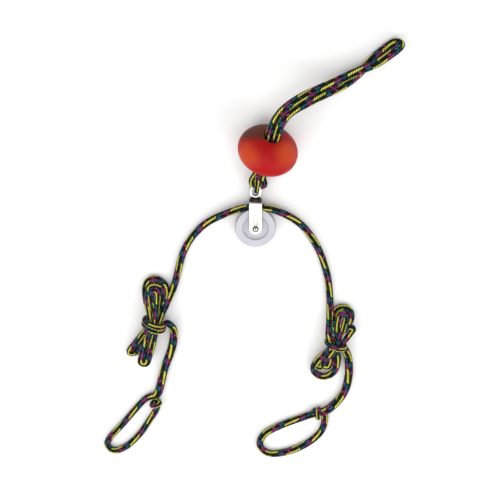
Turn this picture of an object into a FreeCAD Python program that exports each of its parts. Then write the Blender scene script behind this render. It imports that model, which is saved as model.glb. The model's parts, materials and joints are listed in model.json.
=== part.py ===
"""Over-the-door shoulder pulley, laid flat on a table, as a FreeCAD document.

Frame: millimetres, +Z up, the table at Z = 0.  The block lies on the tail of its rivet, its
axle stands along Z, and the anchor side points to +Y.  The origin is at the bottom centre of
the block and door ball together.  Cord routes are given from the foot of the axle.
"""
import FreeCAD, Part

import math
import os

import Sketcher
from FreeCAD import Placement, Rotation, Vector

SIZES = {
    # rope
    "rope_diameter": 6.35,
    "loop_diameter": 6.0,
    "standing_diameter": 7.6,
    "strand_gap": 0.15,
    "strand_below": 14.0,
    "strand_above": 14.1,
    "strand_turn": 30.0,
    "level_run": 9.0,
    # door ball
    "ball_width": 50.0,
    "ball_height": 33.8,
    "ball_tilt": 25.0,
    "ball_turn": 14.5,
    "ball_reach": 73.1,
    "ball_side": 9.9,
    "bore_clearance": 0.4,
    "bore_rim": 1.2,
    # sheave
    "sheave_diameter": 34.5,
    "sheave_width": 9.0,
    "rope_sink": 0.15,
    "groove_clearance": 0.33,
    "hub_diameter": 11.0,
    "web_rim_diameter": 22.4,
    "web_recess": 2.2,
    "sheave_edge": 0.35,
    # axle
    "sleeve_diameter": 5.0,
    "rivet_diameter": 3.2,
    "rivet_bore": 1.8,
    "rivet_head_diameter": 5.4,
    "rivet_head_height": 1.0,
    "rivet_rounding": 0.6,
    "running_clearance": 0.05,
    "side_washer_diameter": 9.0,
    "side_washer_thickness": 0.8,
    "side_play": 0.2,
    # strap
    "strap_width": 10.8,
    "strap_thickness": 1.2,
    "strap_bend": 1.0,
    "crown_room": 2.1,
    # swivel eye
    "shank_diameter": 4.0,
    "collar_diameter": 8.6,
    "collar_thickness": 1.4,
    "collar_rounding": 0.5,
    "swivel_washer_diameter": 8.0,
    "swivel_washer_thickness": 0.7,
    "swivel_play": 0.05,
    "peen_diameter": 6.4,
    "peen_height": 1.0,
    "peen_rounding": 0.6,
    "peen_washer_diameter": 7.6,
    "peen_washer_thickness": 0.5,
    "eye_wire": 3.0,
    "eye_width": 10.7,
    "eye_length": 13.2,
    # hitch and knots
    "hitch_width": 17.0,
    "hitch_length": 14.0,
    "hitch_depth": 13.6,
    "hitch_reach": 4.2,
    "knot_size": 12.0,
    "knot_height": 9.6,
    "knot_rounding": 3.6,
    "tail_diameter": 6.6,
    "tail_height": 6.4,
    "tail_rounding": 2.2,
    # wraps round the hanks
    "waist_radius": 5.82,
    "wrap_height": 12.8,
}

document = FreeCAD.newDocument("shoulder_pulley")
sheet = document.addObject("Spreadsheet::Sheet", "sizes")
for row, (alias, value) in enumerate(SIZES.items(), start=1):
    sheet.set("A%d" % row, alias.replace("_", " "))
    sheet.set("B%d" % row, str(value))
    sheet.setAlias("B%d" % row, alias)
document.recompute()

NODES = []


def size(alias):
    return float(getattr(sheet, alias))


def bind(feature, **expressions):
    """Ties properties of a feature to cells of the sheet; @name stands for the cell."""
    for name, expression in expressions.items():
        feature.setExpression(name, expression.replace("@", "sizes."))
    return feature


def part(kind, name, **expressions):
    return bind(document.addObject("Part::" + kind, name), **expressions)


def moved(feature, base, rotation=None):
    feature.Placement = Placement(base, rotation or Rotation())
    return feature


def boolean(kind, name, base, tool):
    feature = document.addObject("Part::" + kind, name)
    feature.Base = base
    feature.Tool = tool
    return feature


def fused(name, shapes):
    feature = document.addObject("Part::MultiFuse", name)
    feature.Shapes = shapes
    feature.Refine = True
    return feature


def node(label, feature):
    """Registers a finished sub-part under the name that its file takes."""
    feature.Label = label
    NODES.append(feature)
    return feature


# ---------------------------------------------------------------- places worked out from the sizes

ROPE_RADIUS = size("rope_diameter") / 2
SHEAVE_RADIUS = size("sheave_diameter") / 2
SEAT_RADIUS = SHEAVE_RADIUS - size("rope_sink")
SIDE_GAP = size("side_washer_thickness") + size("side_play")
CHEEK_GAP = size("sheave_width") + 2 * SIDE_GAP
BLOCK_DEPTH = CHEEK_GAP + 2 * size("strap_thickness")
AXLE_Z = size("rivet_head_height") + BLOCK_DEPTH / 2
CROWN_INNER = SEAT_RADIUS + ROPE_RADIUS + size("crown_room")
CROWN_OUTER = CROWN_INNER + size("strap_thickness")

TILT = math.radians(size("ball_tilt"))
TURN = math.radians(size("ball_turn"))
BALL_AXIS = Vector(math.cos(TILT) * math.sin(TURN), math.cos(TILT) * math.cos(TURN), math.sin(TILT))


def ball_half_extent(component):
    """Half the size of a tilted oblate bead along one axis, from that part of its own axis."""
    across, along = size("ball_width") / 2, size("ball_height") / 2
    return math.sqrt(across**2 * (1 - component**2) + along**2 * component**2)


BALL_FROM_AXLE = Vector(size("ball_side"), size("ball_reach"), ball_half_extent(BALL_AXIS.z))
RIGHT_EDGE = max(BALL_FROM_AXLE.x + ball_half_extent(BALL_AXIS.x), SHEAVE_RADIUS)
LEFT_EDGE = min(BALL_FROM_AXLE.x - ball_half_extent(BALL_AXIS.x), -SHEAVE_RADIUS)
TOP_EDGE = BALL_FROM_AXLE.y + ball_half_extent(BALL_AXIS.y)
FOOT = Vector(-(LEFT_EDGE + RIGHT_EDGE) / 2, -(TOP_EDGE - SHEAVE_RADIUS) / 2, 0)
AXLE = FOOT + Vector(0, 0, AXLE_Z)
BALL = FOOT + BALL_FROM_AXLE

# strands lie side by side in the bore, on a line that is turned out of the level
STRAND_TURN = math.radians(size("strand_turn"))
STRAND_OFFSET = (size("rope_diameter") + size("strand_gap")) / 2
level_side = Vector(BALL_AXIS.y, -BALL_AXIS.x, 0).normalize()
raised_side = level_side.cross(BALL_AXIS)
SIDE_BY_SIDE = level_side * math.cos(STRAND_TURN) + raised_side * math.sin(STRAND_TURN)
SIDE_BY_SIDE *= STRAND_OFFSET
BORE_RADIUS = STRAND_OFFSET + ROPE_RADIUS + size("bore_clearance")

TO_AXIS_Y = Rotation(Vector(0, 0, 1), Vector(0, 1, 0))
LOWER_RIM, UPPER_RIM = 2, 3  # edge numbers of a Part::Cylinder


# ---------------------------------------------------------------- the block


def ring_body(label, outer, inner, length, base, rotation=None):
    """A washer or a tube: a PartDesign pad between two circles, sizes bound to the sheet."""
    body = document.addObject("PartDesign::Body", label + "_body")
    sketch = body.newObject("Sketcher::SketchObject", label + "_rings")
    plane = [origin for origin in body.Origin.OriginFeatures if origin.Role == "XY_Plane"][0]
    sketch.AttachmentSupport = [(plane, "")]
    sketch.MapMode = "FlatFace"
    for number, diameter in enumerate((outer, inner)):
        sketch.addGeometry(Part.Circle(Vector(), Vector(0, 0, 1), 5 - 2 * number), False)
        sketch.addConstraint(Sketcher.Constraint("Coincident", number, 3, -1, 1))
        index = sketch.addConstraint(Sketcher.Constraint("Diameter", number, 10 - 4 * number))
        sketch.setExpression("Constraints[%d]" % index, diameter.replace("@", "sizes."))
    pad = body.newObject("PartDesign::Pad", label + "_pad")
    pad.Profile = sketch
    bind(pad, Length=length)
    return node(label, moved(body, base, rotation))


def make_sheave():
    """Grooved wheel: a disc less a ring for the rope, two web recesses and the bore."""
    disc = part("Cylinder", "sheave_disc", Radius="@sheave_diameter / 2", Height="@sheave_width")
    rim = part("Fillet", "sheave_rim")
    rim.Base = disc
    rim.Edges = [(number, size("sheave_edge"), size("sheave_edge")) for number in (LOWER_RIM, UPPER_RIM)]
    groove = part(
        "Torus",
        "sheave_groove",
        Radius1="@sheave_diameter / 2 - @rope_sink",
        Radius2="@rope_diameter / 2 + @groove_clearance",
    )
    moved(groove, Vector(0, 0, size("sheave_width") / 2))
    grooved = boolean("Cut", "sheave_grooved", rim, groove)
    tools = []
    for side, height in (("rear", 0.0), ("front", size("sheave_width") - size("web_recess"))):
        ring = part("Cylinder", "recess_%s_ring" % side, Radius="@web_rim_diameter / 2", Height="@web_recess")
        core = part("Cylinder", "recess_%s_core" % side, Radius="@hub_diameter / 2", Height="@web_recess")
        recess = boolean("Cut", "recess_" + side, ring, core)
        tools.append(moved(recess, Vector(0, 0, height)))
    bore = "@sleeve_diameter / 2 + @running_clearance"
    tools.append(part("Cylinder", "sheave_bore", Radius=bore, Height="@sheave_width"))
    sheave = boolean("Cut", "sheave_wheel", grooved, fused("sheave_tools", tools))
    node("sheave", moved(sheave, AXLE - Vector(0, 0, size("sheave_width") / 2)))


def make_strap():
    """A bent strip: a rounded block, hollowed across, with the axle and shank holes."""
    half_width = size("strap_width") / 2
    bar = part("Box", "strap_bar", Length="@strap_width")
    bar.Width = CROWN_OUTER
    bar.Height = BLOCK_DEPTH
    moved(bar, Vector(-half_width, 0, -BLOCK_DEPTH / 2))
    toe = part("Cylinder", "strap_toe", Radius="@strap_width / 2")
    toe.Height = BLOCK_DEPTH
    moved(toe, Vector(0, 0, -BLOCK_DEPTH / 2))
    block = fused("strap_block", [bar, toe])
    outer_bend = size("strap_bend") + size("strap_thickness")
    hollow = part("Box", "strap_hollow")
    hollow.Length = size("strap_width") * 2
    hollow.Width = CROWN_INNER + size("strap_width")
    hollow.Height = CHEEK_GAP
    moved(hollow, Vector(-size("strap_width"), -size("strap_width"), -CHEEK_GAP / 2))
    inner = part("Fillet", "strap_inner_bend")
    inner.Base = hollow
    document.recompute()
    bend = size("strap_bend")
    inner.Edges = [(number, bend, bend) for number in edges_along_x(hollow, CROWN_INNER)]
    bent = part("Fillet", "strap_outer_bend")
    bent.Base = block
    bent.Edges = [(number, outer_bend, outer_bend) for number in edges_along_x(block, CROWN_OUTER)]
    shell = boolean("Cut", "strap_shell", bent, inner)
    axle_hole = part("Cylinder", "axle_hole", Radius="@rivet_diameter / 2 + @running_clearance")
    axle_hole.Height = BLOCK_DEPTH
    moved(axle_hole, Vector(0, 0, -BLOCK_DEPTH / 2))
    shank_hole = part("Cylinder", "shank_hole", Radius="@shank_diameter / 2 + @running_clearance")
    shank_hole.Height = CROWN_OUTER
    moved(shank_hole, Vector(), TO_AXIS_Y)
    strap = boolean("Cut", "strap_strip", shell, fused("strap_holes", [axle_hole, shank_hole]))
    node("strap", moved(strap, AXLE))


def edges_along_x(feature, y):
    """Numbers of the straight edges that run along X at this Y."""
    found = []
    for number, edge in enumerate(feature.Shape.Edges, start=1):
        box = edge.BoundBox
        if box.XLength > 1 and abs(box.YMin - y) + abs(box.YMax - y) < 1e-6 and box.ZLength < 1e-6:
            found.append(number)
    return found


def make_rivet():
    """Semi-tubular rivet: a shank with a head and a rolled tail, hollow from end to end."""
    total = BLOCK_DEPTH + 2 * size("rivet_head_height")
    shank = part("Cylinder", "rivet_shank", Radius="@rivet_diameter / 2")
    shank.Height = total
    ends = [shank]
    for side, height in (("tail", 0.0), ("head", total - size("rivet_head_height"))):
        disc = part(
            "Cylinder", "rivet_%s_disc" % side, Radius="@rivet_head_diameter / 2", Height="@rivet_head_height"
        )
        rolled = part("Fillet", "rivet_" + side)
        rolled.Base = disc
        edge = LOWER_RIM if side == "tail" else UPPER_RIM
        rolled.Edges = [(edge, size("rivet_rounding"), size("rivet_rounding"))]
        ends.append(moved(rolled, Vector(0, 0, height)))
    bore = part("Cylinder", "rivet_bore_core", Radius="@rivet_bore / 2")
    bore.Height = total
    rivet = boolean("Cut", "rivet_hollow", fused("rivet_solid", ends), bore)
    node("axle_rivet", moved(rivet, AXLE - Vector(0, 0, total / 2)))


def make_axle_stack():
    half_gap = Vector(0, 0, CHEEK_GAP / 2)
    ring_body(
        "axle_sleeve",
        "@sleeve_diameter",
        "@rivet_diameter + 2 * @running_clearance",
        "@sheave_width + 2 * (@side_washer_thickness + @side_play)",
        AXLE - half_gap,
    )
    washer = Vector(0, 0, size("side_washer_thickness"))
    for side, base in (("front", AXLE + half_gap - washer), ("rear", AXLE - half_gap)):
        ring_body(
            "side_washer_" + side,
            "@side_washer_diameter",
            "@sleeve_diameter + 2 * @running_clearance",
            "@side_washer_thickness",
            base,
        )


# ---------------------------------------------------------------- the swivel


def swivel_levels():
    """Heights above the axle, along Y, of the faces of the swivel's stack, outwards."""
    peen_washer_top = CROWN_INNER - size("swivel_play")
    peen_top = peen_washer_top - size("peen_washer_thickness")
    washer = CROWN_OUTER + size("swivel_play")
    collar = washer + size("swivel_washer_thickness")
    return peen_top - size("peen_height"), peen_top, washer, collar, collar + size("collar_thickness")


def make_swivel():
    peen, peen_top, washer, collar, collar_top = swivel_levels()
    ring_body(
        "swivel_washer",
        "@swivel_washer_diameter",
        "@shank_diameter + 2 * @running_clearance",
        "@swivel_washer_thickness",
        AXLE + Vector(0, washer, 0),
        TO_AXIS_Y,
    )
    ring_body(
        "peen_washer",
        "@peen_washer_diameter",
        "@shank_diameter + 2 * @running_clearance",
        "@peen_washer_thickness",
        AXLE + Vector(0, peen_top, 0),
        TO_AXIS_Y,
    )
    shank = part("Cylinder", "eye_shank", Radius="@shank_diameter / 2")
    shank.Height = collar - peen
    disc = part("Cylinder", "eye_peen_disc", Radius="@peen_diameter / 2", Height="@peen_height")
    rounded = part("Fillet", "eye_peen")
    rounded.Base = disc
    rounded.Edges = [(LOWER_RIM, size("peen_rounding"), size("peen_rounding"))]
    flange = part("Cylinder", "eye_flange", Radius="@collar_diameter / 2", Height="@collar_thickness")
    eased = part("Fillet", "eye_collar")
    eased.Base = flange
    eased.Edges = [(UPPER_RIM, size("collar_rounding"), size("collar_rounding"))]
    moved(eased, Vector(0, 0, collar - peen))
    stem = fused("eye_stem", [shank, rounded, eased])
    moved(stem, Vector(0, peen, 0), TO_AXIS_Y)
    bend = (size("eye_width") - size("eye_wire")) / 2
    straight = size("eye_length") - size("eye_width")
    lower = collar_top - size("eye_wire") / 4 + size("eye_width") / 2
    pieces = [stem]
    for end, height, turn in (("lower", lower, 180), ("upper", lower + straight, 0)):
        half = part("Torus", "eye_%s_bend" % end, Radius1="(@eye_width - @eye_wire) / 2")
        bind(half, Radius2="@eye_wire / 2")
        half.Angle3 = 180
        pieces.append(moved(half, Vector(0, height, 0), Rotation(Vector(0, 0, 1), turn)))
    for side in (-1, 1):
        limb = part("Cylinder", "eye_limb_%d" % (side + 2), Radius="@eye_wire / 2")
        limb.Height = straight
        pieces.append(moved(limb, Vector(side * bend, lower, 0), TO_AXIS_Y))
    node("swivel_eye", moved(fused("eye_forging", pieces), AXLE))
    return lower + straight + bend


# ---------------------------------------------------------------- the ball


def make_ball():
    """Oblate bead with its bore along the tilted axis and its rims eased."""
    bead = part("Ellipsoid", "ball_bead", Radius1="@ball_height / 2", Radius2="@ball_width / 2")
    bead.Angle1, bead.Angle2, bead.Angle3 = -90, 90, 360
    bore = part("Cylinder", "ball_bore", Height="@ball_height * 2")
    bore.Radius = BORE_RADIUS
    moved(bore, Vector(0, 0, -size("ball_height")))
    drilled = boolean("Cut", "ball_drilled", bead, bore)
    document.recompute()
    rims = [
        number
        for number, edge in enumerate(drilled.Shape.Edges, start=1)
        if edge.BoundBox.ZLength < 1e-3 and abs(edge.BoundBox.XLength / 2 - BORE_RADIUS) < 1e-3
    ]
    ball = part("Fillet", "ball_eased")
    ball.Base = drilled
    ball.Edges = [(number, size("bore_rim"), size("bore_rim")) for number in rims]
    node("door_ball", moved(ball, BALL, Rotation(Vector(0, 0, 1), BALL_AXIS)))


# ---------------------------------------------------------------- cords

RADIUS_SHARE = 0.45
TAIL_FROM_KNOT = (-5.6, 3.3, 1.2)


def cord_path(points):
    """Straight runs joined by tangent arcs, each as large as its two runs allow."""
    edges, radii, start = [], [], points[0]
    for before, corner, after in zip(points, points[1:], points[2:]):
        inward, outward = corner - before, after - corner
        half_turn = inward.getAngle(outward) / 2
        shorter = min(inward.Length, outward.Length)
        reach = RADIUS_SHARE * shorter
        radii.append(reach / math.tan(half_turn))
        inward.normalize()
        outward.normalize()
        first, last = corner - inward * reach, corner + outward * reach
        bisector = (outward - inward).normalize()
        middle = corner + bisector * (radii[-1] / math.cos(half_turn) - radii[-1])
        edges.append(Part.LineSegment(start, first).toShape())
        edges.append(Part.Arc(first, middle, last).toShape())
        start = last
    edges.append(Part.LineSegment(start, points[-1]).toShape())
    return Part.Wire(edges), radii


def make_cord(label, points, diameter):
    path, radii = cord_path(points)
    heading = points[1] - points[0]
    section = Part.Wire([Part.makeCircle(diameter / 2, points[0], heading)])
    tube = path.makePipeShell([section], True, False)
    expected = math.pi * diameter**2 / 4 * path.Length
    print(
        "%-20s length %6.1f  radii %s  volume / expected %.4f  lowest %.2f"
        % (
            label,
            path.Length,
            " ".join("%.0f" % radius for radius in radii),
            tube.Volume / expected,
            tube.optimalBoundingBox().ZMin,
        )
    )
    feature = document.addObject("Part::Feature", label + "_tube")
    feature.Shape = tube
    return node(label, feature)


def from_foot(points):
    return [FOOT + Vector(*point) for point in points]


def make_anchor_cord():
    """Both strands in one length: up through the ball, round the tip of the door loop and back."""
    below = BALL - BALL_AXIS * (size("ball_height") / 2 + size("strand_below"))
    above = BALL + BALL_AXIS * (size("ball_height") / 2 + size("strand_above"))
    outward = [
        (26.3, 108.7, 39.1),
        (39.3, 114.1, 31.2),
        (54.2, 117.3, 19),
        (70, 121, 8.5),
        (82.5, 129.5, 3.4),
        (95, 145.8, 3.2),
        (103.5, 154.8, 3.2),
        (111.1, 161.1, 3.2),
    ]
    tip = [(116.9, 159.8, 8.0)]
    back = [
        (116.5, 153.9, 12.8),
        (108.5, 147.2, 12.3),
        (97, 141.4, 10.6),
        (84, 137, 9.8),
        (67, 131.2, 11.5),
        (50.3, 126.6, 21),
        (34.2, 121.4, 31.8),
        (21.2, 112.8, 37.9),
    ]
    first = [below + SIDE_BY_SIDE, above + SIDE_BY_SIDE]
    last = [above - SIDE_BY_SIDE, below - SIDE_BY_SIDE]
    return make_cord("anchor_cord", first + from_foot(outward + tip + back) + last, size("rope_diameter"))


def arch_points(side, route):
    """The rope leaves the top of the sheave level and in its mid-plane, then follows the route."""
    top = AXLE + Vector(0, SEAT_RADIUS, 0)
    return [top, top + Vector(side * size("level_run"), 0, 0)] + from_foot(route)


ARCH = {
    "left": [
        (-24.5, 11.6, 7.3),
        (-40.5, 3.2, 4.8),
        (-54, -10.5, 3.4),
        (-62.7, -26.5, 3.2),
        (-66.7, -43.5, 3.3),
        (-70.5, -59, 3.6),
        (-77, -72, 7.5),
        (-83.5, -83, 14.5),
    ],
    "right": [
        (24, 11.4, 7.3),
        (38.5, 1.5, 4.8),
        (50, -14.5, 3.4),
        (58.5, -33, 3.2),
        (63.5, -53, 3.3),
        (65.2, -72, 3.6),
        (64.6, -89, 8.0),
        (66, -102.5, 13.5),
    ],
}
STANDING = {
    "left": [
        (-76.5, -88.5, 12.2),
        (-71.2, -97.5, 6.2),
        (-72, -110.5, 4.1),
        (-75, -122.5, 3.9),
        (-81, -138, 3.9),
        (-84, -152, 3.9),
        (-87.5, -165.5, 4.6),
    ],
    "right": [
        (78.3, -112.5, 12),
        (81.5, -121.8, 6.4),
        (83.2, -133.5, 4.1),
        (83.6, -147.5, 3.9),
        (80, -162.5, 3.9),
        (72.2, -173.7, 3.9),
        (63.5, -181.5, 4.6),
    ],
}
LOOP = {
    "left": [
        (-88.5, -168.3, 4.6),
        (-94.8, -166.3, 3.9),
        (-101.2, -171.4, 3.2),
        (-109.8, -182.2, 3.1),
        (-120.6, -196.2, 3.1),
        (-131.6, -208, 3.1),
        (-135.8, -216.5, 3.1),
        (-129.6, -224.3, 3.1),
        (-117.8, -219.8, 3.1),
        (-105, -206.5, 3.1),
        (-95.2, -190.8, 3.1),
        (-87.6, -178, 3.2),
        (-87.6, -169.5, 4.6),
    ],
    "right": [
        (62, -181.5, 4.6),
        (53, -184.3, 3.5),
        (37, -190.6, 3.1),
        (20, -198.1, 3.1),
        (7, -205.6, 3.1),
        (2.9, -217.3, 3.1),
        (11, -227, 3.1),
        (27, -225.6, 3.1),
        (45.5, -217.5, 3.1),
        (58.6, -206, 3.1),
        (63.6, -193.5, 3.2),
        (62.6, -183.5, 4.6),
    ],
}

# hanks: the waist, the turns of rope round it, and the lobes; a lobe has its tip and its sections from
# the waist outwards, each with its place along the lobe, half width, half height and centre height
HANKS = {
    "left": {
        "waist": (-88.5, -89.5),
        "turns": (-3.0, 3.0),
        "lobes": [
            {
                "tip": (-85.3, -47),
                "sections": [
                    (0.0, 5.4, 5.6, 12.6),
                    (0.3, 8.4, 7.4, 9.8),
                    (0.62, 10.6, 6.6, 7.2),
                    (0.88, 9.0, 6.0, 6.6),
                    (1.0, 4.6, 4.4, 6.2),
                ],
            },
            {
                "tip": (-99.3, -134),
                "sections": [
                    (0.0, 5.4, 5.6, 12.6),
                    (0.3, 6.6, 7.2, 9.6),
                    (0.62, 7.2, 6.6, 7.2),
                    (0.88, 6.4, 5.8, 6.4),
                    (1.0, 3.4, 4.0, 6.0),
                ],
            },
            {
                "tip": (-112.5, -127),
                "sections": [
                    (0.0, 5.2, 5.2, 12.6),
                    (0.3, 5.4, 6.0, 9.6),
                    (0.62, 6.0, 4.6, 5.4),
                    (0.88, 5.4, 4.0, 4.3),
                    (1.0, 3.0, 2.8, 4.0),
                ],
            },
        ],
    },
    "right": {
        "waist": (70.2, -110.5),
        "turns": (0.0,),
        "lobes": [
            {
                "tip": (80.4, -74),
                "sections": [
                    (0.0, 5.4, 5.6, 12.6),
                    (0.3, 9.0, 7.4, 9.8),
                    (0.62, 11.6, 6.8, 7.4),
                    (0.88, 9.4, 6.0, 6.6),
                    (1.0, 4.6, 4.4, 6.2),
                ],
            },
            {
                "tip": (57.6, -148.5),
                "sections": [
                    (0.0, 5.4, 5.6, 12.6),
                    (0.3, 8.8, 7.2, 9.6),
                    (0.62, 11.4, 6.6, 7.4),
                    (0.88, 9.6, 5.6, 6.2),
                    (1.0, 5.0, 4.2, 5.6),
                ],
            },
        ],
    },
}


def lobe_section(centre, reach, half_width, half_height):
    """An upright ellipse across a lobe."""
    wide = half_width > half_height
    ellipse = Part.Ellipse(Vector(), max(half_width, half_height), min(half_width, half_height)).toShape()
    if not wide:
        ellipse.rotate(Vector(), Vector(0, 0, 1), 90)
    wire = Part.Wire([ellipse])
    across = Rotation(Vector(reach.y, -reach.x, 0), Vector(0, 0, 1), reach, "YZX")
    wire.Placement = Placement(centre, across).multiply(wire.Placement)
    return wire


def make_hank(side, hank):
    """A folded hank as lofted lobes that meet at the waist."""
    waist = FOOT + Vector(*hank["waist"], 0)
    lobes = []
    for lobe in hank["lobes"]:
        reach = FOOT + Vector(*lobe["tip"], 0) - waist
        sections = []
        for share, half_width, half_height, height in lobe["sections"]:
            centre = waist + reach * share + Vector(0, 0, height)
            sections.append(lobe_section(centre, reach, half_width, half_height))
        lobes.append(Part.makeLoft(sections, True, False))
    feature = document.addObject("Part::Feature", "hank_" + side)
    feature.Shape = lobes[0].multiFuse(lobes[1:]).removeSplitter()
    node("rope_hank_" + side, feature)
    direction = FOOT + Vector(*hank["lobes"][0]["tip"], 0) - waist
    direction.normalize()
    turns = []
    for number, shift in enumerate(hank["turns"]):
        name = "wrap_%s_%d" % (side, number)
        turn = part("Torus", name, Radius2="@rope_diameter / 2")
        bind(turn, Radius1="@waist_radius + @rope_diameter / 2")
        base = waist + direction * shift + Vector(0, 0, size("wrap_height"))
        turns.append(moved(turn, base, Rotation(Vector(0, 0, 1), direction)))
    node("rope_wrap_" + side, fused("wraps_" + side, turns) if len(turns) > 1 else turns[0])


def make_hitch(eye_top):
    """The hitch as one ellipsoid over the top of the eye, where the line of the bore comes down to it."""
    lump = part("Ellipsoid", "hitch", Radius1="@hitch_depth / 2", Radius2="@hitch_width / 2")
    bind(lump, Radius3="@hitch_length / 2")
    lump.Angle1, lump.Angle2, lump.Angle3 = -90, 90, 360
    distance = BALL.y - AXLE.y - eye_top - size("hitch_reach")
    node("anchor_hitch", moved(lump, BALL - BALL_AXIS * (distance / BALL_AXIS.y)))


def rounded_disc(name, diameter, height, rounding, base):
    disc = part("Cylinder", name + "_disc", Radius=diameter + " / 2", Height=height)
    eased = part("Fillet", name)
    eased.Base = disc
    eased.Edges = [(number, size(rounding), size(rounding)) for number in (LOWER_RIM, UPPER_RIM)]
    return moved(eased, base)


def make_knot(side):
    """The knot as a rounded disc on the table; the right one has the end of the rope beside it."""
    base = from_foot([LOOP[side][0]])[0]
    base.z = 0
    knot = rounded_disc("knot_" + side, "@knot_size", "@knot_height", "knot_rounding", base)
    if side == "right":
        place = base + Vector(*TAIL_FROM_KNOT)
        tail = rounded_disc("tail_right", "@tail_diameter", "@tail_height", "tail_rounding", place)
        knot = fused("knot_with_tail", [knot, tail])
    node("loop_knot_" + side, knot)


def make_rope_side(side, sign):
    make_cord("rope_arch_" + side, arch_points(sign, ARCH[side]), size("rope_diameter"))
    make_hank(side, HANKS[side])
    make_cord("rope_standing_" + side, from_foot(STANDING[side]), size("standing_diameter"))
    make_cord("hand_loop_" + side, from_foot(LOOP[side]), size("loop_diameter"))
    make_knot(side)


# ---------------------------------------------------------------- the whole object

make_strap()
make_rivet()
make_axle_stack()
make_sheave()
make_hitch(make_swivel())
make_ball()
make_anchor_cord()
make_rope_side("left", -1)
make_rope_side("right", 1)

document.recompute()
for feature in document.Objects:
    if "Invalid" in feature.State or "Error" in feature.State:
        raise SystemExit("failed feature: " + feature.Name)
for feature in NODES:
    if feature.Shape.isNull() or not feature.Shape.isValid() or not feature.Shape.Solids:
        raise SystemExit("bad shape: " + feature.Label)

os.makedirs("parts", exist_ok=True)
for feature in NODES:
    feature.Shape.exportStep("parts/%s.step" % feature.Label)
print("foot of the axle at %.3f, %.3f; axle height %.3f" % (FOOT.x, FOOT.y, AXLE_Z))
print("ball centre %.3f, %.3f, %.3f" % (BALL.x, BALL.y, BALL.z))
print("%d sub-parts" % len(NODES))
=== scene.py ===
"""Over-the-door shoulder pulley: ropes, hitch, door ball and block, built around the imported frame.

Everything is in metres in the frame's own axes.  Cord routes are given from the foot of the axle.
"""
import json
import math

import bpy
import numpy as np
from bpy.props import FloatProperty, FloatVectorProperty, IntProperty, PointerProperty
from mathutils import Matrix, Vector


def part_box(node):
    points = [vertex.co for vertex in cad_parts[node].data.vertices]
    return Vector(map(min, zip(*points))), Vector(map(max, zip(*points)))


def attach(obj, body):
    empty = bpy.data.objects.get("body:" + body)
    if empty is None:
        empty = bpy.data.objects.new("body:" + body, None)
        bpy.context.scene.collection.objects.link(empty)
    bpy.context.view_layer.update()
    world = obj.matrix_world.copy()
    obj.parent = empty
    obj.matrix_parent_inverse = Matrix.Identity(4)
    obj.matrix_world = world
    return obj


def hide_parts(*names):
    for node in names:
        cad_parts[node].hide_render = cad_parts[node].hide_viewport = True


bl_info = {
    "name": "Shoulder pulley",
    "version": (1, 0, 0),
    "blender": (4, 5, 0),
    "location": "View3D > Sidebar > Pulley",
    "description": "Builds the ropes, hitch, door ball and swivel block of a shoulder pulley",
    "category": "Add Mesh",
}

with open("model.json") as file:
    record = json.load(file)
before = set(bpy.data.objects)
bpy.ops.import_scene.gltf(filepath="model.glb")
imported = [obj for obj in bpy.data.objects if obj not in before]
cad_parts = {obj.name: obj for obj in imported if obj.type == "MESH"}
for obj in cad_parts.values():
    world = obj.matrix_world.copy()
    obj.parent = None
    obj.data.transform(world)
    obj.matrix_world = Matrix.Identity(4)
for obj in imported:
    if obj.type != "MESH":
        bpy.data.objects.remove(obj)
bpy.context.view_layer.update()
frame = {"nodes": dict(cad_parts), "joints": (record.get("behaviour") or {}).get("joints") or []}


# ---------------------------------------------------------------- places read from the frame


def middle(node):
    """The centre of a node's box."""
    low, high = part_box(node)
    return np.array((low + high) / 2)


def joint(name):
    """One of the frame's joints, by its name."""
    return next(entry for entry in frame["joints"] if entry["name"] == name)


AXLE = middle("sheave")
FOOT = AXLE * (1, 1, 0)
BALL = middle("door_ball")
BALL_AXIS = np.array(joint("ball_slide")["axis"])
CROWN_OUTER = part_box("strap")[1].y - AXLE[1]

# the two strands lie side by side in the ball's bore, on a line that is turned out of the level
STRAND_TURN = math.radians(30)
STRAND_OFFSET = 0.00325
level_side = np.array([BALL_AXIS[1], -BALL_AXIS[0], 0]) / math.hypot(BALL_AXIS[0], BALL_AXIS[1])
raised_side = np.cross(level_side, BALL_AXIS)
SIDE_BY_SIDE = STRAND_OFFSET * (level_side * math.cos(STRAND_TURN) + raised_side * math.sin(STRAND_TURN))


# ---------------------------------------------------------------- settings


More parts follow.
